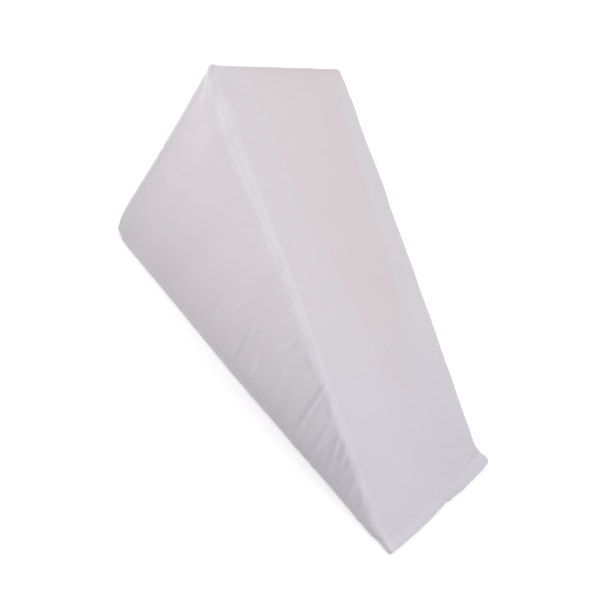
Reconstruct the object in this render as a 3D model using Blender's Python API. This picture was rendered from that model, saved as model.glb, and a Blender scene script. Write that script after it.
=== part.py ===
"""A wedge pillow: one filled, cloth-covered wedge lying on its base.

The cover is cut from five panels (slope, base, back and two triangular sides)
that are sewn edge to edge, so the whole is one closed, stuffed form. Each panel
stands a little proud between its seams, every seam is a soft, rounded edge with
a low bead where the turned-in allowance lies, the corners are drawn in or out,
and the cloth runs past the filling at the thin end as a flat lip with a groove
behind it. The spare cloth of the low end gathers in folds down both sides.

The wedge's own frame has +X from the foot of the back towards the thin end, Y
measured from the middle and +Z up. At the end the origin is put on the ground in
the middle of the outline. Everything is in metres.
"""

import math

import bpy
import numpy as np

# Driving sizes, as if the edges were sharp
LENGTH = 0.6005  # foot of the back to the rolled edge of the thin end
HEIGHT = 0.3003  # base to the upper back seam
WIDTH = 0.324  # across the two side seams
TILT = math.atan2(HEIGHT, LENGTH)
# How softly the cloth turns from one panel to the next, high up and at the foot
EDGE_RADIUS = 0.0095
FOOT_RADIUS = 0.0050

# How far each panel stands out at its middle, and how far the slope bows upwards
SLOPE_CROWN = 0.0045
SIDE_CROWN = 0.0042
BACK_CROWN = 0.0068
SLOPE_BOW = 0.0028
# The lift of the cloth over the turned-in allowance, and half its width
SEAM_BEAD = 0.0007
SEAM_BEAD_REACH = 0.0045

# The thin end in section. "run" is the distance back from its rolled edge and
# "top" the height of the cloth there; further back the cloth follows the slope.
THIN_END = (
    {"run": 0.000, "top": 0.0066},
    {"run": 0.006, "top": 0.0078},
    {"run": 0.012, "top": 0.0090},
    {"run": 0.018, "top": 0.0108},
    {"run": 0.024, "top": 0.0130},
    {"run": 0.032, "top": 0.0160},
)

# The lip across the thin end: how far from its edge the groove behind it lies and
# how deep that is, and how far the edge itself strays out.
LIP = (
    {"y": -0.160, "run": 0.016, "deep": 0.0003, "out": -0.0010},
    {"y": -0.125, "run": 0.016, "deep": 0.0003, "out": 0.0006},
    {"y": -0.082, "run": 0.017, "deep": 0.0006, "out": 0.0013},
    {"y": -0.045, "run": 0.016, "deep": 0.0002, "out": 0.0010},
    {"y": 0.006, "run": 0.016, "deep": 0.0003, "out": -0.0014},
    {"y": 0.063, "run": 0.018, "deep": 0.0007, "out": 0.0016},
    {"y": 0.100, "run": 0.020, "deep": 0.0012, "out": 0.0006},
    {"y": 0.160, "run": 0.023, "deep": 0.0018, "out": -0.0008},
)
# The lip lies a little towards the far side, over this stretch before its edge
LIP_SHIFT = 0.0060
LIP_FROM, LIP_TO = 0.038, 0.020

# The drawn corners. "at" names the corner (b back or t thin end, n near or f far
# side, u upper or l lower), "in" is how far along the wedge from it the pull lies,
# the next three are the pull along X, Y and Z, and "reach" how far it is felt.
EARS = (
    {"at": "bnu", "in": 0.000, "x": -0.0022, "y": -0.0016, "z": 0.0062, "reach": 0.0075},
    {"at": "bfu", "in": 0.000, "x": 0.0010, "y": -0.0065, "z": -0.0010, "reach": 0.0120},
    {"at": "bnl", "in": 0.000, "x": 0.0022, "y": 0.0010, "z": 0.0000, "reach": 0.0340},
    {"at": "bnl", "in": 0.000, "x": 0.0018, "y": 0.0050, "z": 0.0034, "reach": 0.0130},
    {"at": "bfl", "in": 0.000, "x": -0.0015, "y": 0.0015, "z": 0.0020, "reach": 0.0140},
    {"at": "tnu", "in": 0.000, "x": 0.0000, "y": 0.0010, "z": 0.0010, "reach": 0.0120},
    {"at": "tfu", "in": 0.000, "x": -0.0010, "y": 0.0002, "z": 0.0020, "reach": 0.0120},
    {"at": "tfu", "in": 0.012, "x": -0.0005, "y": 0.0034, "z": 0.0010, "reach": 0.0090},
    {"at": "tfu", "in": 0.025, "x": 0.0000, "y": 0.0036, "z": 0.0012, "reach": 0.0090},
)

# Where the long seams of the near side stray from straight lines
UPPER_NEAR = (
    {"x": 0.000, "y": 0.0000, "z": 0.0000},
    {"x": 0.030, "y": -0.0030, "z": -0.0030},
    {"x": 0.100, "y": -0.0035, "z": -0.0040},
    {"x": 0.200, "y": -0.0010, "z": -0.0020},
    {"x": 0.300, "y": 0.0015, "z": 0.0000},
    {"x": 0.450, "y": 0.0030, "z": 0.0005},
    {"x": 0.530, "y": 0.0015, "z": 0.0000},
    {"x": 0.602, "y": 0.0000, "z": 0.0000},
)
LOWER_NEAR = (
    {"x": 0.000, "y": 0.0000},
    {"x": 0.100, "y": 0.0000},
    {"x": 0.280, "y": -0.0020},
    {"x": 0.400, "y": 0.0000},
    {"x": 0.500, "y": 0.0020},
    {"x": 0.560, "y": 0.0025},
    {"x": 0.602, "y": -0.0010},
)
SEAM_REACH = 0.050

# Folds down the sides: both ends of the trough, its depth, the rise beside it on the
# thin end's side, and its half width.
FOLDS = (
    {"side": "near", "x0": 0.391, "z0": 0.097, "x1": 0.404, "z1": 0.014, "deep": 0.0020, "rise": 0.0014, "wide": 0.0050},
    {"side": "near", "x0": 0.429, "z0": 0.064, "x1": 0.437, "z1": 0.008, "deep": 0.0014, "rise": 0.0014, "wide": 0.0048},
    {"side": "near", "x0": 0.447, "z0": 0.063, "x1": 0.469, "z1": 0.018, "deep": 0.0016, "rise": 0.0012, "wide": 0.0046},
    {"side": "near", "x0": 0.481, "z0": 0.053, "x1": 0.485, "z1": 0.029, "deep": 0.0014, "rise": 0.0010, "wide": 0.0046},
    {"side": "near", "x0": 0.258, "z0": 0.066, "x1": 0.262, "z1": 0.018, "deep": 0.0006, "rise": 0.0010, "wide": 0.0080},
    {"side": "far", "x0": 0.362, "z0": 0.108, "x1": 0.379, "z1": 0.030, "deep": 0.0014, "rise": 0.0011, "wide": 0.0052},
    {"side": "far", "x0": 0.420, "z0": 0.083, "x1": 0.433, "z1": 0.020, "deep": 0.0018, "rise": 0.0013, "wide": 0.0050},
    {"side": "far", "x0": 0.446, "z0": 0.070, "x1": 0.471, "z1": 0.022, "deep": 0.0011, "rise": 0.0010, "wide": 0.0048},
)

# Spacing of the cuts: at a seam, how it grows away from one, at most, and in the folds
SEAM_STEP = 0.0022
STEP_GROWTH = 0.42
WIDEST_STEP = 0.028
FOLD_STEP = 0.0060
FOLDS_FROM, FOLDS_TO = 0.355, 0.560


def smooth(value, low, high):
    """0 below low, 1 above high, with soft ends."""
    t = np.clip((value - low) / (high - low), 0, 1)
    return t * t * (3 - 2 * t)


def swell(t, power=4):
    """0 at both ends of a panel and 1 at its middle, flat-topped."""
    return 1 - np.abs(2 * np.clip(t, 0, 1) - 1) ** power


def read(rows, key, column, place):
    """A table's column at these places, eased from row to row."""
    keys = np.array([r[key] for r in rows])
    values = np.array([r[column] for r in rows])
    n = np.clip(np.searchsorted(keys, place) - 1, 0, len(keys) - 2)
    return values[n] + (values[n + 1] - values[n]) * smooth(place, keys[n], keys[n + 1])


def cuts(length, widest):
    """Places from 0 to length, close at both seams and at most widest(place) apart."""
    fine = np.linspace(0, length, 4001)
    middle = (fine[1:] + fine[:-1]) / 2
    step = SEAM_STEP + STEP_GROWTH * np.minimum(middle, length - middle)
    worth = np.cumsum(np.diff(fine) / np.minimum(step, widest(middle)))
    worth = np.concatenate([[0], worth])
    return np.interp(np.linspace(0, worth[-1], round(worth[-1]) + 1), worth, fine)


def top_at(x):
    """Height of the upper cloth above the ground, before it is rounded."""
    run = LENGTH - x
    lip = np.interp(run, [r["run"] for r in THIN_END], [r["top"] for r in THIN_END])
    return np.where(run < THIN_END[-1]["run"], lip, HEIGHT * run / LENGTH)


class Cover:
    """The wedge's six faces on one grid of cuts, so that they share their seams."""

    def __init__(self):
        def along(x):
            folds = (x > FOLDS_FROM) & (x < FOLDS_TO)
            return np.where(folds, FOLD_STEP, WIDEST_STEP)

        xs = cuts(LENGTH, along)
        ys = cuts(WIDTH, lambda y: WIDEST_STEP) - WIDTH / 2
        share = cuts(HEIGHT, lambda z: WIDEST_STEP) / HEIGHT
        tops = top_at(xs)
        number = np.zeros((len(xs), len(ys), len(share)), int)
        shell = np.zeros(number.shape, bool)
        shell[[0, -1]] = shell[:, [0, -1]] = shell[:, :, [0, -1]] = True
        number[shell] = np.arange(shell.sum())
        i, j, k = np.nonzero(shell)
        # Up the sides the cuts bunch at the seams, but lie evenly where the side is low.
        low = np.clip((0.06 - tops[i]) / 0.04, 0, 1)
        up = share[k] + low * (k / (len(share) - 1) - share[k])
        self.at = np.stack([xs[i], ys[j], tops[i] * up], 1)
        self.top = tops[i]
        self.point = self.at.copy()
        self.panels = {
            "base": number[:, ::-1, 0],
            "slope": number[:, :, -1],
            "near": number[:, 0, :],
            "far": number[:, -1, ::-1],
            "back": number[0, ::-1, :],
            "end": number[-1, :, :],
        }

    def faces(self):
        """Four corners of each face, facing out."""
        quads = []
        for grid in self.panels.values():
            corners = [grid[:-1, :-1], grid[1:, :-1], grid[1:, 1:], grid[:-1, 1:]]
            quads.append(np.stack(corners, -1).reshape(-1, 4))
        return np.concatenate(quads)

    def normals(self):
        """Unit normals of the cloth at its points."""
        quads = self.faces()
        a, b, c, d = (self.point[quads[:, n]] for n in range(4))
        flat = np.cross(c - a, d - b)
        total = np.zeros_like(self.point)
        for n in range(4):
            np.add.at(total, quads[:, n], flat)
        return total / np.maximum(np.linalg.norm(total, axis=1, keepdims=True), 1e-12)


def round_edges(cover):
    """Put the cloth a radius out from a core inside the wedge; returns the way out."""
    x, y, z = cover.at.T
    top = cover.top
    r = FOOT_RADIUS + (EDGE_RADIUS - FOOT_RADIUS) * smooth(z / top, 0.1, 0.5)
    r = np.minimum(r, 0.49 * top)
    end = 0.49 * float(top_at(np.array(LENGTH)))
    core = np.stack(
        [
            np.clip(x, r, LENGTH - end),
            np.clip(y, -WIDTH / 2 + r, WIDTH / 2 - r),
            np.clip(z, r, np.maximum(top - r, r)),
        ],
        1,
    )
    out = cover.at - core
    out /= np.maximum(np.linalg.norm(out, axis=1, keepdims=True), 1e-9)
    cover.point = core + out * r[:, None]
    return out


def crown_panels(cover, out):
    """Let each panel stand out between its seams; this dies out at the thin end."""
    x, y, z = cover.at.T
    across, along, up = y / WIDTH + 0.5, x / LENGTH, z / cover.top
    thick = np.minimum(1, cover.top / 0.08) * swell(along, 6)
    cover.point[:, 2] += np.clip(out[:, 2], 0, 1) ** 3 * SLOPE_CROWN * swell(across) * thick
    side = np.sign(out[:, 1]) * np.abs(out[:, 1]) ** 3
    cover.point[:, 1] += side * SIDE_CROWN * swell(up) * thick
    back = np.clip(-out[:, 0], 0, 1) ** 3
    cover.point[:, 0] -= back * BACK_CROWN * swell(up) * swell(across)


def lead_seams(cover):
    """Seams that run a little off their straight lines, and the lip's sideways lie."""
    x, y, z = cover.at.T
    near = WIDTH / 2 + y
    below = (cover.top - z) * math.cos(TILT)
    upper = np.exp(-(((near + below) / SEAM_REACH) ** 2))
    lower = np.exp(-(((near + z) / SEAM_REACH) ** 2))
    cover.point[:, 1] += upper * read(UPPER_NEAR, "x", "y", x)
    cover.point[:, 2] += upper * read(UPPER_NEAR, "x", "z", x)
    cover.point[:, 1] += lower * read(LOWER_NEAR, "x", "y", x)
    cover.point[:, 2] += SLOPE_BOW * swell(x / LENGTH, 2) * smooth(z / cover.top, 0.3, 1)
    cover.point[:, 1] += LIP_SHIFT * smooth(x, LENGTH - LIP_FROM, LENGTH - LIP_TO)


def corner(name):
    """The sharp wedge's corner of that name."""
    top = float(top_at(np.array(LENGTH)))
    return np.array([
        0.0 if name[0] == "b" else LENGTH,
        -WIDTH / 2 if name[1] == "n" else WIDTH / 2,
        top / 2 if name[0] == "t" else HEIGHT if name[2] == "u" else 0.0,
    ])


def draw_corners(cover):
    """The pull of the ears."""
    move = np.zeros_like(cover.point)
    for ear in EARS:
        inward = ear["in"] if ear["at"][0] == "b" else -ear["in"]
        away = np.linalg.norm(cover.point - corner(ear["at"]) - [inward, 0, 0], axis=1)
        pull = np.exp(-((away / ear["reach"]) ** 2))
        move += pull[:, None] * np.array([ear["x"], ear["y"], ear["z"]])
    cover.point += move


def seam_beads(cover):
    """Lift of the cloth beside the seams."""
    x, y, z = cover.at.T
    near, far = WIDTH / 2 + y, WIDTH / 2 - y
    below = (cover.top - z) * math.cos(TILT)
    ways = (near + below, far + below, x + below, near + z, far + z, near + x, far + x)
    nearest = np.min(ways, axis=0)
    bead = SEAM_BEAD * np.exp(-2 * (nearest / SEAM_BEAD_REACH) ** 2)
    return bead * smooth(cover.top, 0.010, 0.030)


def fold(cover, row):
    """One trough down a side, with the rise beside it."""
    x, y, z = cover.at.T
    start = np.array([row["x0"], row["z0"]])
    way = np.array([row["x1"], row["z1"]]) - start
    length = np.linalg.norm(way)
    way /= length
    off = np.array([-way[1], way[0]])
    s = ((x - start[0]) * way[0] + (z - start[1]) * way[1]) / length
    d = (x - start[0]) * off[0] + (z - start[1]) * off[1]
    ends = smooth(s, -0.12, 0.12) * (1 - smooth(s, 0.55, 1.20))
    trough = np.exp(-((d / row["wide"]) ** 2))
    rise = np.exp(-(((d - 1.9 * row["wide"]) / (1.1 * row["wide"])) ** 2))
    side = -1 if row["side"] == "near" else 1
    panel = np.abs(y - side * WIDTH / 2) < 1e-6
    return ends * (row["rise"] * rise - row["deep"] * trough) * panel


def lip_groove(cover):
    """The groove behind the lip."""
    x, y, z = cover.at.T
    away = (LENGTH - x - read(LIP, "y", "run", y)) / 0.0055
    groove = read(LIP, "y", "deep", y) * np.exp(-(away**2))
    return -groove * smooth(z / cover.top, 0.5, 1.0)


def build_cushion():
    """The whole filled cushion as one closed mesh, and where its origin lay in the wedge."""
    cover = Cover()
    out = round_edges(cover)
    crown_panels(cover, out)
    lead_seams(cover)
    draw_corners(cover)
    edge = np.exp(-(((LENGTH - cover.at[:, 0]) / 0.012) ** 2))
    cover.point[:, 0] += edge * read(LIP, "y", "out", cover.at[:, 1])
    relief = seam_beads(cover) + lip_groove(cover)
    for row in FOLDS:
        relief = relief + fold(cover, row)
    cover.point += cover.normals() * relief[:, None]

    # It lies flat on the ground; the origin goes to the middle of the outline.
    cover.point[:, 2] = np.maximum(cover.point[:, 2], 0)
    origin = (cover.point.min(axis=0) + cover.point.max(axis=0)) / 2
    origin[2] = 0
    data = bpy.data.meshes.new("wedge_cushion")
    data.from_pydata((cover.point - origin).tolist(), [], cover.faces().tolist())
    data.update()
    data.shade_smooth()
    cushion = bpy.data.objects.new("wedge_cushion", data)
    bpy.context.scene.collection.objects.link(cushion)
    return cushion, origin


def cloth(name, colour, roughness):
    """Plain matt cloth."""
    material = bpy.data.materials.new(name)
    material.use_nodes = True
    shader = material.node_tree.nodes["Principled BSDF"]
    shader.inputs["Base Color"].default_value = (*colour, 1.0)
    shader.inputs["Roughness"].default_value = roughness
    shader.inputs["Metallic"].default_value = 0.0
    return material


for old in list(bpy.data.objects):
    bpy.data.objects.remove(old, do_unlink=True)

cushion, origin = build_cushion()
cushion.data.materials.append(cloth("cover_cloth", (0.68, 0.64, 0.68), 0.9))
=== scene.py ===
import math

import bpy
import numpy as np
from mathutils import Matrix, Vector


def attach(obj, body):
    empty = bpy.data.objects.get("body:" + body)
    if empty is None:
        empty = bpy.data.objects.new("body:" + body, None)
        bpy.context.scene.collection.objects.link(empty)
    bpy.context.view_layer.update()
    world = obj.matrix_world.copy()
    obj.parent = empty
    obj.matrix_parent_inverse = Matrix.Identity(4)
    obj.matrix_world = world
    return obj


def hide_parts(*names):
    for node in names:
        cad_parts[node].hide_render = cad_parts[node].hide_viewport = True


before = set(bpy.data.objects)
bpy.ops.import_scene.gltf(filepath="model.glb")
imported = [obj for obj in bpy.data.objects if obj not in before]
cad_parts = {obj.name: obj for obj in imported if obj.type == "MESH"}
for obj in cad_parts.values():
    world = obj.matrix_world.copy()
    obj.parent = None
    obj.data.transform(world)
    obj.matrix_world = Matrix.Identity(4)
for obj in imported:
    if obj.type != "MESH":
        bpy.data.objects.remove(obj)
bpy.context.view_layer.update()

# ---------------------------------------------------------------- sizes, in metres
# The wedge as if its edges were sharp. Here +X runs from the back's foot towards
# the thin end, Y is measured from the middle and Z from the ground. ORIGIN is the
# place of the part's own origin in that wedge.
LENGTH = 0.6005
HEIGHT = 0.3003
WIDTH = 0.324
ORIGIN = (0.29759, 0.00158)
EDGE_RADIUS = 0.0095
FOOT_RADIUS = 0.0050
TILT = math.atan2(HEIGHT, LENGTH)

# The thin end in section: "run" is the way back from its edge, "top" the height of
# the cloth. Further back the cloth follows the slope.
THIN_END = (
    {"run": 0.000, "top": 0.0066},
    {"run": 0.006, "top": 0.0078},
    {"run": 0.012, "top": 0.0090},
    {"run": 0.018, "top": 0.0108},
    {"run": 0.024, "top": 0.0130},
    {"run": 0.032, "top": 0.0160},
)

# Where the camera stands, in the part's own frame
CAMERA_PLACE = (0.28563, -1.05155, 0.74406)

# Corners drawn out into ears: b back or t thin end, n near or f far side, u upper
# or l lower; "in" how far along the wedge from the corner the pull's middle lies; the pull
# along X, Y and Z, and how far it reaches.
EARS = (
    {"at": "bnu", "in": 0.000, "x": -0.0022, "y": -0.0016, "z": 0.0062, "reach": 0.0075},
    {"at": "bfu", "in": 0.000, "x": 0.0010, "y": -0.0065, "z": -0.0010, "reach": 0.012},
    {"at": "bnl", "in": 0.000, "x": 0.0022, "y": 0.0010, "z": 0.0000, "reach": 0.034},
    {"at": "bnl", "in": 0.000, "x": 0.0018, "y": 0.0050, "z": 0.0034, "reach": 0.013},
    {"at": "bfl", "in": 0.000, "x": -0.0015, "y": 0.0015, "z": 0.0020, "reach": 0.014},
    {"at": "tnu", "in": 0.000, "x": 0.0000, "y": 0.0010, "z": 0.0010, "reach": 0.012},
    {"at": "tfu", "in": 0.000, "x": -0.0010, "y": 0.0002, "z": 0.0020, "reach": 0.012},
    {"at": "tfu", "in": 0.012, "x": -0.0010, "y": 0.0056, "z": 0.0030, "reach": 0.009},
    {"at": "tfu", "in": 0.025, "x": 0.0000, "y": 0.0036, "z": 0.0012, "reach": 0.009},
)

# Where the long seams stray from straight lines, along the wedge
UPPER_NEAR = (
    {"x": 0.000, "y": 0.0000, "z": 0.0000},
    {"x": 0.030, "y": -0.0030, "z": -0.0030},
    {"x": 0.100, "y": -0.0035, "z": -0.0040},
    {"x": 0.200, "y": -0.0010, "z": -0.0020},
    {"x": 0.300, "y": 0.0015, "z": 0.0000},
    {"x": 0.450, "y": 0.0030, "z": 0.0005},
    {"x": 0.530, "y": 0.0015, "z": 0.0000},
    {"x": 0.602, "y": 0.0000, "z": 0.0000},
)
LOWER_NEAR = (
    {"x": 0.000, "y": 0.0000},
    {"x": 0.100, "y": 0.0000},
    {"x": 0.280, "y": -0.0020},
    {"x": 0.400, "y": 0.0000},
    {"x": 0.500, "y": 0.0020},
    {"x": 0.560, "y": 0.0025},
    {"x": 0.602, "y": -0.0010},
)
SEAM_REACH = 0.050

# The spare cloth at the thin end lies a little towards the far side
LIP_SHIFT = 0.0060
LIP_FROM, LIP_TO = 0.038, 0.020

# The cover is puffed out by a short cloth simulation on a coarser grid. BREATH is the
# most that a point may move there, and SLACK the spare cloth in the creased area.
COARSE = (88, 40, 32)
FRAMES = 20
PRESSURE = 1.0
BREATH = 0.0085
SLACK = 0.012
SLOPE_BOW = 0.0028

# Each seam: how far the cloth rises beside its stitched line and sinks at it, the lift
# over the turned-in allowance and the panel that this lies under, and the puckers.
SEAMS = (
    {"seam": "upper_near", "rise": 0.0003, "line": 0.00003, "lift": 0.0003, "under": "near", "pucker": 0.00028},
    {"seam": "upper_far", "rise": 0.0003, "line": 0.00003, "lift": 0.0003, "under": "far", "pucker": 0.00028},
    {"seam": "upper_back", "rise": 0.0006, "line": 0.0007, "lift": 0.0005, "under": "slope", "pucker": 0.00030},
    {"seam": "lower_near", "rise": 0.0006, "line": 0.0006, "lift": 0.0004, "under": "near", "pucker": 0.00045},
    {"seam": "lower_far", "rise": 0.0006, "line": 0.0006, "lift": 0.0004, "under": "far", "pucker": 0.00045},
    {"seam": "lower_back", "rise": 0.0006, "line": 0.0006, "lift": 0.0004, "under": "back", "pucker": 0.00040},
    {"seam": "upright_near", "rise": 0.0006, "line": 0.0006, "lift": 0.0005, "under": "near", "pucker": 0.00035},
    {"seam": "upright_far", "rise": 0.0006, "line": 0.0006, "lift": 0.0005, "under": "far", "pucker": 0.00035},
    {"seam": "thin_end", "rise": 0.0004, "line": 0.0005, "lift": 0.0000, "under": "slope", "pucker": 0.00045},
)
ALLOWANCE = 0.0095

# Creases of the two side panels, each from its place under the upper seam to its foot:
# x and z of both ends, how far the middle bends towards the thin end, the trough's
# depth, the rise beside it on the thin end's side, and its half width.
NEAR_CREASES = (
    {"x0": 0.391, "z0": 0.097, "x1": 0.404, "z1": 0.014, "bend": -0.001, "deep": 0.0029, "rise": 0.0019, "wide": 0.0035},
    {"x0": 0.407, "z0": 0.089, "x1": 0.430, "z1": 0.069, "bend": 0.001, "deep": 0.0016, "rise": 0.0004, "wide": 0.0034},
    {"x0": 0.429, "z0": 0.064, "x1": 0.437, "z1": 0.008, "bend": 0.001, "deep": 0.0020, "rise": 0.0021, "wide": 0.0034},
    {"x0": 0.438, "z0": 0.060, "x1": 0.440, "z1": 0.027, "bend": 0.000, "deep": 0.0013, "rise": 0.0015, "wide": 0.0026},
    {"x0": 0.447, "z0": 0.063, "x1": 0.469, "z1": 0.018, "bend": 0.000, "deep": 0.0026, "rise": 0.0021, "wide": 0.0032},
    {"x0": 0.461, "z0": 0.063, "x1": 0.474, "z1": 0.033, "bend": 0.001, "deep": 0.0020, "rise": 0.0016, "wide": 0.0028},
    {"x0": 0.481, "z0": 0.053, "x1": 0.485, "z1": 0.029, "bend": 0.000, "deep": 0.0022, "rise": 0.0016, "wide": 0.0030},
    {"x0": 0.499, "z0": 0.040, "x1": 0.510, "z1": 0.014, "bend": 0.001, "deep": 0.0015, "rise": 0.0016, "wide": 0.0034},
    {"x0": 0.522, "z0": 0.033, "x1": 0.533, "z1": 0.012, "bend": 0.001, "deep": 0.0013, "rise": 0.0010, "wide": 0.0028},
    {"x0": 0.258, "z0": 0.066, "x1": 0.262, "z1": 0.018, "bend": 0.002, "deep": 0.0009, "rise": 0.0023, "wide": 0.0030},
    {"x0": 0.265, "z0": 0.094, "x1": 0.272, "z1": 0.065, "bend": -0.001, "deep": 0.0007, "rise": 0.0016, "wide": 0.0030},
    {"x0": 0.320, "z0": 0.118, "x1": 0.308, "z1": 0.086, "bend": 0.002, "deep": 0.0007, "rise": 0.0020, "wide": 0.0030},
    {"x0": 0.350, "z0": 0.109, "x1": 0.370, "z1": 0.100, "bend": 0.000, "deep": 0.0016, "rise": 0.0007, "wide": 0.0036},
    {"x0": 0.232, "z0": 0.106, "x1": 0.226, "z1": 0.084, "bend": 0.001, "deep": 0.0005, "rise": 0.0013, "wide": 0.0036},
    {"x0": 0.205, "z0": 0.060, "x1": 0.222, "z1": 0.020, "bend": 0.001, "deep": 0.0007, "rise": 0.0009, "wide": 0.0060},
    {"x0": 0.292, "z0": 0.060, "x1": 0.304, "z1": 0.016, "bend": 0.001, "deep": 0.0007, "rise": 0.0009, "wide": 0.0050},
    {"x0": 0.338, "z0": 0.070, "x1": 0.350, "z1": 0.016, "bend": 0.001, "deep": 0.0007, "rise": 0.0007, "wide": 0.0055},
)
FAR_CREASES = (
    {"x0": 0.362, "z0": 0.108, "x1": 0.379, "z1": 0.030, "bend": 0.002, "deep": 0.0025, "rise": 0.0020, "wide": 0.0042},
    {"x0": 0.420, "z0": 0.083, "x1": 0.433, "z1": 0.020, "bend": -0.001, "deep": 0.0022, "rise": 0.0016, "wide": 0.0038},
    {"x0": 0.446, "z0": 0.070, "x1": 0.471, "z1": 0.022, "bend": 0.001, "deep": 0.0014, "rise": 0.0013, "wide": 0.0036},
    {"x0": 0.492, "z0": 0.049, "x1": 0.505, "z1": 0.020, "bend": 0.000, "deep": 0.0014, "rise": 0.0011, "wide": 0.0032},
    {"x0": 0.250, "z0": 0.072, "x1": 0.262, "z1": 0.026, "bend": 0.002, "deep": 0.0009, "rise": 0.0007, "wide": 0.0055},
)

# The groove behind the lip, across the thin end: how far it lies from the edge and how
# deep it is, and how far the edge strays out.
LIP = (
    {"y": -0.160, "run": 0.016, "deep": 0.0003, "out": -0.0010},
    {"y": -0.125, "run": 0.016, "deep": 0.0003, "out": 0.0006},
    {"y": -0.082, "run": 0.017, "deep": 0.0006, "out": 0.0013},
    {"y": -0.045, "run": 0.016, "deep": 0.0002, "out": 0.0010},
    {"y": 0.006, "run": 0.016, "deep": 0.0003, "out": -0.0014},
    {"y": 0.030, "run": 0.017, "deep": 0.0003, "out": 0.0000},
    {"y": 0.063, "run": 0.018, "deep": 0.0007, "out": 0.0016},
    {"y": 0.100, "run": 0.020, "deep": 0.0015, "out": 0.0006},
    {"y": 0.131, "run": 0.022, "deep": 0.0030, "out": 0.0000},
    {"y": 0.160, "run": 0.023, "deep": 0.0036, "out": -0.0008},
)

# Where the filling lies close under the slope's cloth and warms its colour
WARM = (
    {"x": 0.000, "from": -0.094, "to": 0.142},
    {"x": 0.090, "from": -0.089, "to": 0.111},
    {"x": 0.165, "from": -0.084, "to": 0.098},
    {"x": 0.270, "from": -0.060, "to": 0.089},
    {"x": 0.378, "from": -0.034, "to": 0.057},
    {"x": 0.430, "from": -0.008, "to": 0.036},
    {"x": 0.460, "from": 0.014, "to": 0.022},
)

# Cuts of the fine grid along, across and up
FINE = (220, 90, 66)


# ---------------------------------------------------------------- small helpers
def smooth(value, low, high):
    """0 below low, 1 above high, with soft ends."""
    t = np.clip((value - low) / (high - low), 0, 1)
    return t * t * (3 - 2 * t)


def swell(t, power=4):
    """0 at both ends of a panel and 1 at its middle, flat-topped."""
    return 1 - np.abs(2 * np.clip(t, 0, 1) - 1) ** power


def spaced(length, count, step):
    """count + 1 places from 0 to length, close together where step(place) is small."""
    fine = np.linspace(0, length, 6001)
    middle = (fine[1:] + fine[:-1]) / 2
    worth = np.concatenate([[0], np.cumsum((fine[1] - fine[0]) / step(middle))])
    return np.interp(np.linspace(0, worth[-1], count + 1), worth, fine)


def seam_step(widest):
    """Spacing that grows away from both seams of a stretch up to widest."""
    return lambda place, length: np.minimum(
        0.0005 + 0.12 * np.minimum(place, length - place), widest
    )


def read(rows, key, column, place):
    """A table's column at these places, eased from row to row."""
    keys = np.array([r[key] for r in rows])
    values = np.array([r[column] for r in rows])
    n = np.clip(np.searchsorted(keys, place) - 1, 0, len(keys) - 2)
    t = smooth(place, keys[n], keys[n + 1])
    return values[n] + (values[n + 1] - values[n]) * t


def top_at(x):
    """Height of the upper cloth above the ground, before the rounding."""
    run = LENGTH - x
    lip = np.interp(run, [r["run"] for r in THIN_END], [r["top"] for r in THIN_END])
    return np.where(run < THIN_END[-1]["run"], lip, HEIGHT * run / LENGTH)


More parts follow.
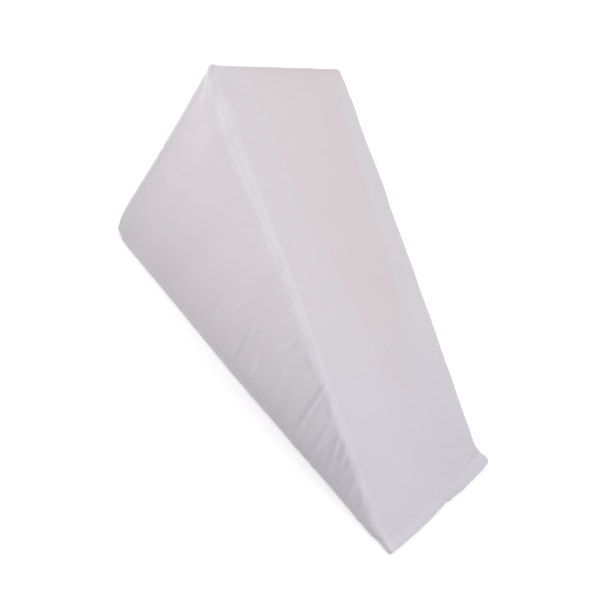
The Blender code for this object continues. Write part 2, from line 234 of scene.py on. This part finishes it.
# ---------------------------------------------------------------- the grid of cloth
class Cloth:
    """The six faces of the wedge on one grid of cuts that share their seams.

    at      (n, 3) places on the sharp-edged wedge
    point   (n, 3) places on the cloth, worked on from there
    panels  name: an array of vertex numbers, one for each crossing of two cuts
    """

    def __init__(self, along, across, up):
        self.along, self.across, self.up = along, across, up

        def x_step(x):
            edge = seam_step(0.0037)(x, LENGTH)
            return np.where(x > 0.36, np.minimum(edge, 0.0021), edge)

        xs = spaced(LENGTH, along, x_step)
        ys = spaced(WIDTH, across, lambda y: seam_step(0.0046)(y, WIDTH)) - WIDTH / 2
        share = spaced(HEIGHT, up, lambda z: seam_step(0.0080)(z, HEIGHT)) / HEIGHT
        tops = top_at(xs)
        number = -np.ones((along + 1, across + 1, up + 1), int)
        shell = np.zeros(number.shape, bool)
        shell[[0, -1]] = shell[:, [0, -1]] = True
        shell[:, :, [0, -1]] = True
        number[shell] = np.arange(shell.sum())
        i, j, k = np.nonzero(shell)
        # Up the sides the cuts bunch at the seams, but lie evenly where the side is low.
        low = np.clip((0.06 - tops[i]) / 0.04, 0, 1)
        level = share[k] + low * (k / up - share[k])
        self.at = np.stack([xs[i], ys[j], tops[i] * level], 1)
        self.top = tops[i]
        self.index = np.stack([i / along, j / across, k / up], 1)
        self.panels = {
            "base": number[:, ::-1, 0],
            "slope": number[:, :, -1],
            "near": number[:, 0, :],
            "far": number[:, -1, ::-1],
            "back": number[0, ::-1, :],
            "end": number[-1, :, :],
        }
        self.point = self.at.copy()

    def faces(self):
        """Four corners of each face, facing out, and the panel that each belongs to."""
        quads, owner = [], []
        for name, grid in self.panels.items():
            corners = [grid[:-1, :-1], grid[1:, :-1], grid[1:, 1:], grid[:-1, 1:]]
            quads.append(np.stack(corners, -1).reshape(-1, 4))
            owner += [name] * len(quads[-1])
        return np.concatenate(quads), np.array(owner)

    def normals(self):
        """Unit normals of the cloth at its vertices."""
        quads, _ = self.faces()
        a, b, c, d = (self.point[quads[:, n]] for n in range(4))
        flat = np.cross(c - a, d - b)
        total = np.zeros_like(self.point)
        for n in range(4):
            for axis in range(3):
                total[:, axis] += np.bincount(
                    quads[:, n], flat[:, axis], len(self.point)
                )
        return total / np.maximum(np.linalg.norm(total, axis=1, keepdims=True), 1e-12)

    def seams(self):
        """For each seam, the way from it along the cloth, and the place along the seam."""
        x, y, z = self.at.T
        near, far = WIDTH / 2 + y, WIDTH / 2 - y
        below = (self.top - z) * math.cos(TILT)
        run = (LENGTH - x) / math.cos(TILT)
        slant = x / math.cos(TILT)
        return {
            "upper_near": (near + below, slant),
            "upper_far": (far + below, slant),
            "upper_back": (slant + below, y),
            "lower_near": (near + z, x),
            "lower_far": (far + z, x),
            "lower_back": (x + z, y),
            "upright_near": (near + x, z),
            "upright_far": (far + x, z),
            "thin_end": (run + np.abs(z - self.top / 2), y),
        }


def rounded(cloth):
    """The cloth with soft edges: it lies a radius out from a core inside the wedge."""
    x, y, z = cloth.at.T
    top = cloth.top
    r = FOOT_RADIUS + (EDGE_RADIUS - FOOT_RADIUS) * smooth(z / top, 0.1, 0.5)
    r = np.minimum(r, 0.49 * top)
    end = 0.49 * float(top_at(np.array(LENGTH)))
    core = np.stack(
        [
            np.clip(x, r, LENGTH - end),
            np.clip(y, -WIDTH / 2 + r, WIDTH / 2 - r),
            np.clip(z, r, np.maximum(top - r, r)),
        ],
        1,
    )
    out = cloth.at - core
    out /= np.maximum(np.linalg.norm(out, axis=1, keepdims=True), 1e-9)
    return core + out * r[:, None], out


def corner(name):
    """The sharp wedge's corner of that name."""
    top = float(top_at(np.array(LENGTH)))
    return np.array([
        0.0 if name[0] == "b" else LENGTH,
        -WIDTH / 2 if name[1] == "n" else WIDTH / 2,
        top / 2 if name[0] == "t" else HEIGHT if name[2] == "u" else 0.0,
    ])


def eared(point):
    """The pull of the drawn-out corners."""
    move = np.zeros_like(point)
    for ear in EARS:
        inward = ear["in"] if ear["at"][0] == "b" else -ear["in"]
        away = np.linalg.norm(point - corner(ear["at"]) - [inward, 0, 0], axis=1)
        pull = np.exp(-((away / ear["reach"]) ** 2))
        move += pull[:, None] * np.array([ear["x"], ear["y"], ear["z"]])
    return move


def strayed(cloth):
    """Seams that run a little off their straight lines, and the lip's sideways lie."""
    x, y, z = cloth.at.T
    seams = cloth.seams()
    move = np.zeros_like(cloth.point)
    upper = np.exp(-((seams["upper_near"][0] / SEAM_REACH) ** 2))
    lower = np.exp(-((seams["lower_near"][0] / SEAM_REACH) ** 2))
    move[:, 1] += upper * read(UPPER_NEAR, "x", "y", x)
    move[:, 2] += upper * read(UPPER_NEAR, "x", "z", x)
    move[:, 1] += lower * read(LOWER_NEAR, "x", "y", x)
    move[:, 2] += SLOPE_BOW * swell(x / LENGTH, 2) * smooth(z / cloth.top, 0.3, 1)
    move[:, 1] += LIP_SHIFT * smooth(x, LENGTH - LIP_FROM, LENGTH - LIP_TO)
    return move


def puffed():
    """How far each point of a coarse grid moves when the cover is blown up against its seams."""
    coarse = Cloth(*COARSE)
    coarse.point, _ = rounded(coarse)
    coarse.point += strayed(coarse)
    coarse.point[:, 2] = np.maximum(coarse.point[:, 2], 0)
    rest = coarse.point.copy()
    faces, _ = coarse.faces()
    data = bpy.data.meshes.new("puff")
    data.from_pydata(rest.tolist(), [], faces.tolist())
    trial = bpy.data.objects.new("puff", data)
    bpy.context.scene.collection.objects.link(trial)
    seams = coarse.seams()
    held = np.min([way for way, _ in seams.values()], axis=0) < 0.0015
    held |= coarse.at[:, 2] < 1e-6
    group = trial.vertex_groups.new(name="held")
    group.add(np.nonzero(held)[0].tolist(), 1.0, "REPLACE")
    spare = trial.vertex_groups.new(name="spare")
    x, y, z = coarse.at.T
    side = np.abs(np.abs(y) - WIDTH / 2) < 1e-6
    weight = side * smooth(x, 0.33, 0.42) * (1 - smooth(x, 0.52, 0.58))
    for n in np.nonzero(weight > 0.01)[0]:
        spare.add([int(n)], float(weight[n]), "REPLACE")
    modifier = trial.modifiers.new("cloth", "CLOTH")
    settings = modifier.settings
    settings.quality = 5
    settings.mass = 0.3
    settings.tension_stiffness = settings.compression_stiffness = 15
    settings.shear_stiffness = 5
    settings.bending_stiffness = 0.5
    settings.use_pressure = True
    settings.uniform_pressure_force = PRESSURE
    settings.vertex_group_mass = "held"
    settings.pin_stiffness = 1
    settings.vertex_group_shrink = "spare"
    settings.shrink_min = 0
    settings.shrink_max = -SLACK
    settings.effector_weights.gravity = 0
    modifier.point_cache.frame_start, modifier.point_cache.frame_end = 1, FRAMES
    for number in range(1, FRAMES + 1):
        bpy.context.scene.frame_set(number)
    shown = trial.evaluated_get(bpy.context.evaluated_depsgraph_get()).data
    moved = np.empty(len(shown.vertices) * 3, np.float32)
    shown.vertices.foreach_get("co", moved)
    step = moved.reshape(-1, 3) - rest
    bpy.data.objects.remove(trial, do_unlink=True)
    bpy.context.scene.frame_set(1)
    size = np.maximum(np.linalg.norm(step, axis=1, keepdims=True), 1e-9)
    return coarse, step / size * BREATH * np.tanh(size / BREATH)


def cubic(values, places):
    """Catmull-Rom values of a row-wise table at fractional rows."""
    last = len(values) - 1
    row = np.clip(places.astype(int), 0, last - 1)
    t = (places - row)[:, None, None]
    a, b, c, d = (values[np.clip(row + n, 0, last)] for n in (-1, 0, 1, 2))
    return b + 0.5 * t * (
        c - a + t * (2 * a - 5 * b + 4 * c - d + t * (3 * (b - c) + d - a))
    )


def refined(coarse, step, cloth):
    """The coarse grid's movement read at every point of the fine grid."""
    move = np.zeros_like(cloth.point)
    for name, grid in cloth.panels.items():
        table = step[coarse.panels[name]]
        rows = np.linspace(0, table.shape[0] - 1, grid.shape[0])
        columns = np.linspace(0, table.shape[1] - 1, grid.shape[1])
        part = cubic(table, rows)
        part = cubic(part.swapaxes(0, 1), columns).swapaxes(0, 1)
        move[grid] = part
    return move


def waves(seed, place, lengths, count):
    """Soft unevenness with a mean square of one: a few seeded waves over these coordinates."""
    dice = np.random.default_rng(seed)
    total = np.zeros(len(place[0]))
    for _ in range(count):
        length = math.exp(dice.uniform(math.log(lengths[0]), math.log(lengths[1])))
        way = dice.normal(size=len(place))
        way /= np.linalg.norm(way)
        phase = sum(p * w for p, w in zip(place, way)) * 2 * math.pi / length
        total += np.sin(phase + dice.uniform(0, 2 * math.pi))
    return total / math.sqrt(count / 2)


def seam_relief(cloth):
    """Rise, stitched line, allowance and puckers along each seam, along the normals."""
    x, y, z = cloth.at.T
    on = {
        "near": y < -WIDTH / 2 + 1e-6,
        "far": y > WIDTH / 2 - 1e-6,
        "back": x < 1e-6,
        "slope": z > cloth.top - 1e-6,
    }
    thick = smooth(cloth.top, 0.004, 0.030)
    height = np.zeros(len(x))
    ways = cloth.seams()
    for n, row in enumerate(SEAMS):
        way, place = ways[row["seam"]]
        full = 1.0 if row["seam"] == "thin_end" else thick
        beside = np.exp(-(((way - 0.0040) / 0.0032) ** 2))
        height += full * row["rise"] * beside
        height -= full * row["line"] * np.exp(-((way / 0.0011) ** 2))
        lift = 1 - smooth(way, ALLOWANCE - 0.0015, ALLOWANCE + 0.0010)
        height += full * row["lift"] * lift * on[row["under"]]
        strength = 0.6 + 0.4 * waves(100 + n, (place,), (0.05, 0.16), 4)
        gather = waves(200 + n, (place,), (0.009, 0.022), 6)
        gather += 0.5 * waves(300 + n, (place, way), (0.012, 0.03), 5)
        reach = np.exp(-((way / 0.013) ** 1.5)) * smooth(way, 0.0, 0.0030)
        height += full * row["pucker"] * strength * gather * reach
    return height


def crease_relief(cloth, rows, panel):
    """Troughs and the rises beside them on one side panel."""
    x, y, z = cloth.at.T
    height = np.zeros(len(x))
    for row in rows:
        start = np.array([row["x0"], row["z0"]])
        end = np.array([row["x1"], row["z1"]])
        way = end - start
        length = np.linalg.norm(way)
        way /= length
        off = np.array([-way[1], way[0]])
        if off[0] < 0:
            off = -off
        s = ((x - start[0]) * way[0] + (z - start[1]) * way[1]) / length
        d = (x - start[0]) * off[0] + (z - start[1]) * off[1]
        d = d - row["bend"] * 4 * np.clip(s, 0, 1) * (1 - np.clip(s, 0, 1))
        wide = row["wide"] * (0.8 + 0.5 * np.clip(s, 0, 1))
        ends = smooth(s, -0.12, 0.10) * (1 - smooth(s, 0.55, 1.20))
        trough = np.exp(-((d / wide) ** 2))
        rise = np.exp(-(((d - 1.9 * wide) / (1.1 * wide)) ** 2))
        height += ends * (row["rise"] * rise - row["deep"] * trough)
    return height * panel


def lip_relief(cloth):
    """The groove behind the lip and the bunched edge in front of it."""
    x, y, z = cloth.at.T
    upper = smooth(z / cloth.top, 0.5, 1.0)
    run = LENGTH - x
    groove = read(LIP, "y", "deep", y)
    away = (run - read(LIP, "y", "run", y)) / 0.0050
    height = -groove * np.exp(-(away**2))
    bunch = 0.0004 + 0.0005 * waves(7, (y,), (0.016, 0.034), 6)
    height += bunch * np.exp(-(((run - 0.0070) / 0.0042) ** 2))
    return height * upper


def top_line(cloth):
    """The stitched line that shows a little below the top edge on the near half."""
    x, y, z = cloth.at.T
    upper = z > cloth.top - 1e-6
    groove = np.exp(-(((x - 0.0062) / 0.0011) ** 2)) * smooth(x, 0.0, 0.004)
    return -0.00045 * groove * upper * (1 - smooth(y, -0.04, 0.05))


def unevenness(cloth):
    """Soft waviness of each panel, which dies out at the ground."""
    x, y, z = cloth.at.T
    side = np.abs(np.abs(y) - WIDTH / 2) < 1e-6
    wave = waves(11, (x, y, z), (0.05, 0.16), 14)
    small = waves(12, (x, y, z), (0.018, 0.05), 14)
    amount = np.where(side, 0.00042, 0.00020)
    lively = np.where(side, 0.00010, 0.00004)
    calm = smooth(z, 0.0, 0.02) * smooth(cloth.top, 0.003, 0.04)
    return (amount * wave + lively * small) * calm


# ---------------------------------------------------------------- build the pillow
cloth = Cloth(*FINE)
cloth.point, out = rounded(cloth)
stray = strayed(cloth)
cloth.point += refined(*puffed(), cloth)
cloth.point += stray
cloth.point += eared(cloth.point)
edge = np.exp(-(((LENGTH - cloth.at[:, 0]) / 0.012) ** 2))
cloth.point[:, 0] += edge * read(LIP, "y", "out", cloth.at[:, 1])

relief = seam_relief(cloth) + lip_relief(cloth) + top_line(cloth) + unevenness(cloth)
relief += crease_relief(cloth, NEAR_CREASES, cloth.at[:, 1] < -WIDTH / 2 + 1e-6)
relief += crease_relief(cloth, FAR_CREASES, cloth.at[:, 1] > WIDTH / 2 - 1e-6)
cloth.point += cloth.normals() * relief[:, None]
cloth.point[:, 2] = np.maximum(cloth.point[:, 2], 0)

quads, owner = cloth.faces()
mesh = bpy.data.meshes.new("wedge_pillow_cover")
mesh.from_pydata((cloth.point - [ORIGIN[0], ORIGIN[1], 0]).tolist(), [], quads.tolist())
mesh.update()
mesh.shade_smooth()
pillow = bpy.data.objects.new("wedge_pillow_cover", mesh)
bpy.context.scene.collection.objects.link(pillow)


# ---------------------------------------------------------------- the cut of the cloth
def flat_places(name, place):
    """Where a panel's points lie on the cloth laid flat, in metres, panel by panel."""
    x, y, z = place.T
    y = y + WIDTH / 2
    return {
        "slope": (0.005 + x / math.cos(TILT), 0.005 + y),
        "back": (0.690 + y, 0.005 + z),
        "end": (0.690 + y, 0.340 + z),
        "base": (0.005 + x, 0.340 + y),
        "near": (0.005 + x, 0.675 + z),
        "far": (0.640 - x, 1.010 - z),
    }[name]


FLAT_SIZE = 1.03
flat = np.empty((len(quads), 4, 2))
for name in cloth.panels:
    mine = owner == name
    u, v = flat_places(name, cloth.at[quads[mine]].reshape(-1, 3))
    flat[mine] = (np.stack([u, v], 1) / FLAT_SIZE).reshape(-1, 4, 2)
layer = mesh.uv_layers.new(name="OFBake")
layer.uv.foreach_set("vector", flat.astype(np.float32).ravel())


def paint(name, values):
    """A value from 0 to 1 for each point of the cloth, for the material to read."""
    attribute = mesh.attributes.new(name, "FLOAT", "POINT")
    attribute.data.foreach_set("value", np.clip(values, 0, 1).astype(np.float32))


x, y, z = cloth.at.T
upper = z > cloth.top - 1e-6
inside = smooth(y - read(WARM, "x", "from", x), -0.007, 0.007)
inside *= smooth(read(WARM, "x", "to", x) - y, -0.009, 0.009)
inside *= 1 - smooth(x, 0.448, 0.466)
paint("warm", inside * upper)
# Lighter bands along the seams: the doubled cloth of the allowances, and along the near top seam also a painted
# highlight of the rounded edge.
doubled_cloth_and_highlight = np.zeros(len(x))
for row in SEAMS:
    way, _ = cloth.seams()[row["seam"]]
    soft = np.where(upper, 0.0080, 0.0125 - 0.0060 * smooth(x, 0.36, 0.44))
    full = 0.0005
    amount = {"thin_end": 0.3, "upper_back": 1.0}.get(row["seam"], 0.7)
    if row["seam"] == "upper_near":
        # Along the long top seam a broad soft band of painted highlight, widest at the tall end.
        above = 0.022 - 0.011 * smooth(x, 0.05, 0.42)
        below = 0.026 - 0.009 * smooth(x, 0.00, 0.22) - 0.006 * smooth(x, 0.34, 0.44)
        soft = np.where(upper, above, below)
        full = np.where(upper, 0.0005, 0.0005 + 0.0030 * smooth(x, 0.36, 0.44))
        amount = 0.68 + 0.16 * smooth(x, 0.08, 0.30)
    amount = amount * (1 - 0.25 * smooth(x, 0.34, 0.46))
    amount = amount * (0.85 + 0.15 * waves(31, (x,), (0.03, 0.09), 5))
    doubled_cloth_and_highlight = np.maximum(doubled_cloth_and_highlight, amount * (1 - smooth(way, full, soft)))
paint("doubled_cloth_and_highlight", doubled_cloth_and_highlight)
low_end = 0.8 * smooth(x, 0.30, 0.52)
paint("lip", np.maximum(1 - smooth(LENGTH - x, 0.012, 0.034), low_end))

# Painted light and shade in the cloth's colour: lighter towards the top of the sides and
# darker towards their foot, towards the thin end and at the back end.
height = z / np.maximum(cloth.top, 0.01)
# painted shade: lighter up the sides, darker towards their foot and the thin end
painted_shading = 0.945 + 0.16 * (height - 0.45) - 0.08 * smooth(x, 0.20, 0.45)
painted_shading -= 0.05 * smooth(x, 0.42, 0.50)
# painted shadow along the foot of the sides near the thin end
painted_shading -= 0.10 * smooth(x, 0.44, 0.52) * (1 - smooth(z, 0.004, 0.012))
# painted shade at the back end
painted_shading -= 0.06 * (1 - smooth(x, 0.0, 0.06))
# painted highlight just under the top seam, towards the thin end
under_seam = (cloth.top - z) * math.cos(TILT)
painted_shading += 0.08 * (1 - smooth(under_seam, 0.003, 0.012)) * smooth(x, 0.33, 0.42)
# painted light on the slope: lighter on its near side, darker towards its far side, the thin end and the back end
painted_shading_slope = 1.055 - 0.055 * smooth(y, -0.16, 0.10) - 0.05 * smooth(x, 0.35, 0.58)
painted_shading_slope -= 0.04 * (1 - smooth(x, 0.0, 0.08))
painted_shading = np.where(upper, painted_shading_slope, painted_shading)
painted_shading = np.where(z < 1e-6, 1.0, painted_shading)
paint("painted_shading", (painted_shading - 0.8) / 0.4)


# ---------------------------------------------------------------- materials
def plain(name, colour, roughness):
    material = bpy.data.materials.new(name)
    material.use_nodes = True
    shader = material.node_tree.nodes["Principled BSDF"]
    shader.inputs["Base Color"].default_value = (*colour, 1)
    shader.inputs["Roughness"].default_value = roughness
    return material


COTTON = (0.600, 0.565, 0.603)
COTTON_WARM = (0.606, 0.548, 0.566)
COTTON_DOUBLED_HIGHLIGHT = (0.672, 0.640, 0.686)
COTTON_LIP = (0.598, 0.573, 0.624)
THREAD = 0.00062


def cotton():
    """Thin plain-weave cotton: a little lighter where it is doubled, with a painted highlight along
    the near top seam and painted light and shade over the panels, warmer where the filling lies
    close under it, with a fine weave and slubs."""
    material = plain("cover_cotton", COTTON, 0.88)
    tree = material.node_tree
    nodes, links = tree.nodes, tree.links
    shader = nodes["Principled BSDF"]
    shader.inputs["Sheen Weight"].default_value = 0.12
    shader.inputs["Sheen Roughness"].default_value = 0.5
    shader.inputs["Specular IOR Level"].default_value = 0.25

    def node(kind, **values):
        made = nodes.new(kind)
        for key, value in values.items():
            setattr(made, key, value)
        return made

    def math_node(operation, first, second=None):
        made = node("ShaderNodeMath", operation=operation)
        for n, value in enumerate((first, second)):
            if value is None:
                continue
            if isinstance(value, (int, float)):
                made.inputs[n].default_value = value
            else:
                links.new(value, made.inputs[n])
        return made.outputs[0]

    def blend(share, first, second):
        made = node("ShaderNodeMix", data_type="RGBA")
        links.new(share, made.inputs["Factor"])
        for socket, value in ((made.inputs["A"], first), (made.inputs["B"], second)):
            if isinstance(value, tuple):
                socket.default_value = (*value, 1)
            else:
                links.new(value, socket)
        return made.outputs["Result"]

    def painted(name):
        return node("ShaderNodeAttribute", attribute_name=name).outputs["Fac"]

    place = node("ShaderNodeTexCoord").outputs["Object"]

    def noise(scale, detail):
        made = node("ShaderNodeTexNoise")
        made.inputs["Scale"].default_value = scale
        made.inputs["Detail"].default_value = detail
        links.new(place, made.inputs["Vector"])
        return made.outputs["Fac"]

    # colour
    colour = blend(painted("warm"), COTTON, COTTON_WARM)
    colour = blend(painted("lip"), colour, COTTON_LIP)
    # lighter doubled cloth at the seams, and a painted highlight along the near top seam
    colour = blend(painted("doubled_cloth_and_highlight"), colour, COTTON_DOUBLED_HIGHLIGHT)
    cloud = node("ShaderNodeMapRange")
    cloud.inputs["To Min"].default_value = 0.785
    cloud.inputs["To Max"].default_value = 0.815
    links.new(noise(11.0, 3.0), cloud.inputs["Value"])
    # the colour is scaled by the painted light and shade, with a faint random cloud
    scale = math_node("ADD", cloud.outputs["Result"], math_node("MULTIPLY", painted("painted_shading"), 0.4))
    painted_shading = node("ShaderNodeVectorMath", operation="SCALE")
    links.new(colour, painted_shading.inputs[0])
    links.new(scale, painted_shading.inputs["Scale"])
    links.new(painted_shading.outputs["Vector"], shader.inputs["Base Color"])

    # roughness
    rough = node("ShaderNodeMapRange")
    rough.inputs["To Min"].default_value = 0.82
    rough.inputs["To Max"].default_value = 0.93
    links.new(noise(140.0, 2.0), rough.inputs["Value"])
    links.new(rough.outputs["Result"], shader.inputs["Roughness"])

    # weave: warp over weft by turns, with slubs and a faint handle of the cloth
    flat_place = node("ShaderNodeUVMap", uv_map="OFBake").outputs["UV"]
    split = node("ShaderNodeSeparateXYZ")
    links.new(flat_place, split.inputs[0])
    turns = 2 * math.pi * FLAT_SIZE / (2 * THREAD)
    warp = math_node("SINE", math_node("MULTIPLY", split.outputs["X"], turns))
    weft = math_node("SINE", math_node("MULTIPLY", split.outputs["Y"], turns))
    weave = math_node("MULTIPLY", warp, weft)
    slub = noise(420.0, 3.0)
    handle = noise(75.0, 4.0)
    height = math_node("ADD", math_node("MULTIPLY", weave, 0.00004),
                       math_node("MULTIPLY", slub, 0.00014))
    height = math_node("ADD", height, math_node("MULTIPLY", handle, 0.00045))
    bump = node("ShaderNodeBump")
    bump.inputs["Strength"].default_value = 0.7
    bump.inputs["Distance"].default_value = 1.0
    links.new(height, bump.inputs["Height"])
    links.new(bump.outputs["Normal"], shader.inputs["Normal"])
    return material


mesh.materials.append(cotton())

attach(pillow, "root")
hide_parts("wedge_cushion")


# ---------------------------------------------------------------- floor, light, camera
def add(name, data, place=(0, 0, 0)):
    thing = bpy.data.objects.new(name, data)
    bpy.context.scene.collection.objects.link(thing)
    thing.location = place
    return thing


floor_mesh = bpy.data.meshes.new("floor")
floor_mesh.from_pydata(
    [(-40, -40, 0), (40, -40, 0), (40, 40, 0), (-40, 40, 0)], [], [(0, 1, 2, 3)]
)
floor_paint = plain("floor_white", (0.92, 0.92, 0.92), 0.9)
floor_shader = floor_paint.node_tree.nodes["Principled BSDF"]
floor_shader.inputs["Emission Color"].default_value = (1, 1, 1, 1)
floor_nodes = floor_paint.node_tree.nodes
where = floor_nodes.new("ShaderNodeTexCoord")
away = floor_nodes.new("ShaderNodeVectorMath")
away.operation = "LENGTH"
glow = floor_nodes.new("ShaderNodeMapRange")
for socket, value in (("From Min", 0.6), ("From Max", 2.6), ("To Min", 0.16), ("To Max", 0.45)):
    glow.inputs[socket].default_value = value
floor_paint.node_tree.links.new(where.outputs["Object"], away.inputs[0])
floor_paint.node_tree.links.new(away.outputs["Value"], glow.inputs["Value"])
floor_paint.node_tree.links.new(glow.outputs["Result"], floor_shader.inputs["Emission Strength"])
floor_mesh.materials.append(floor_paint)
floor = add("floor", floor_mesh, (0, 0, -0.0002))

world = bpy.data.worlds.new("soft_room")
world.use_nodes = True
world.node_tree.nodes["Background"].inputs["Color"].default_value = (1, 1, 1, 1)
world.node_tree.nodes["Background"].inputs["Strength"].default_value = 0.79
bpy.context.scene.world = world


def softbox(name, place, target, size, power):
    data = bpy.data.lights.new(name, "AREA")
    data.shape = "DISK"
    data.size = size
    data.energy = power
    lamp = add(name, data, place)
    aim = Vector(target) - Vector(place)
    lamp.rotation_mode = "QUATERNION"
    lamp.rotation_quaternion = aim.to_track_quat("-Z", "Y")
    return lamp


def around(name, azimuth, elevation, power):
    """A soft lamp 2.2 m from the pillow; azimuth 0 is in front of its near side."""
    a, e = math.radians(azimuth), math.radians(elevation)
    way = Vector((math.sin(a) * math.cos(e), -math.cos(a) * math.cos(e), math.sin(e)))
    return softbox(name, way * 2.2 + Vector((0, 0, 0.1)), (0, 0, 0.1), 1.8, power)


around("back_softbox", 270, 25, 22)
around("near_softbox", 315, 50, 8)
around("far_softbox", 135, 50, 10)

camera_data = bpy.data.cameras.new("camera")
camera_data.sensor_width = 36
camera_data.lens = 52.10
camera = add("camera", camera_data)
# Solved for a sharp-edged wedge of this length whose outlines lie on the photograph's
forward = Vector((-0.26328, 0.80703, -0.52857)).normalized()
upward = Vector((-0.72041, 0.19994, 0.66411))
rightward = forward.cross(upward).normalized()
upward = rightward.cross(forward)
turn = Matrix((rightward, upward, -forward)).transposed()
camera.matrix_world = Matrix.Translation(CAMERA_PLACE) @ turn.to_4x4()
bpy.context.scene.camera = camera
bpy.context.scene.view_settings.view_transform = "Standard"
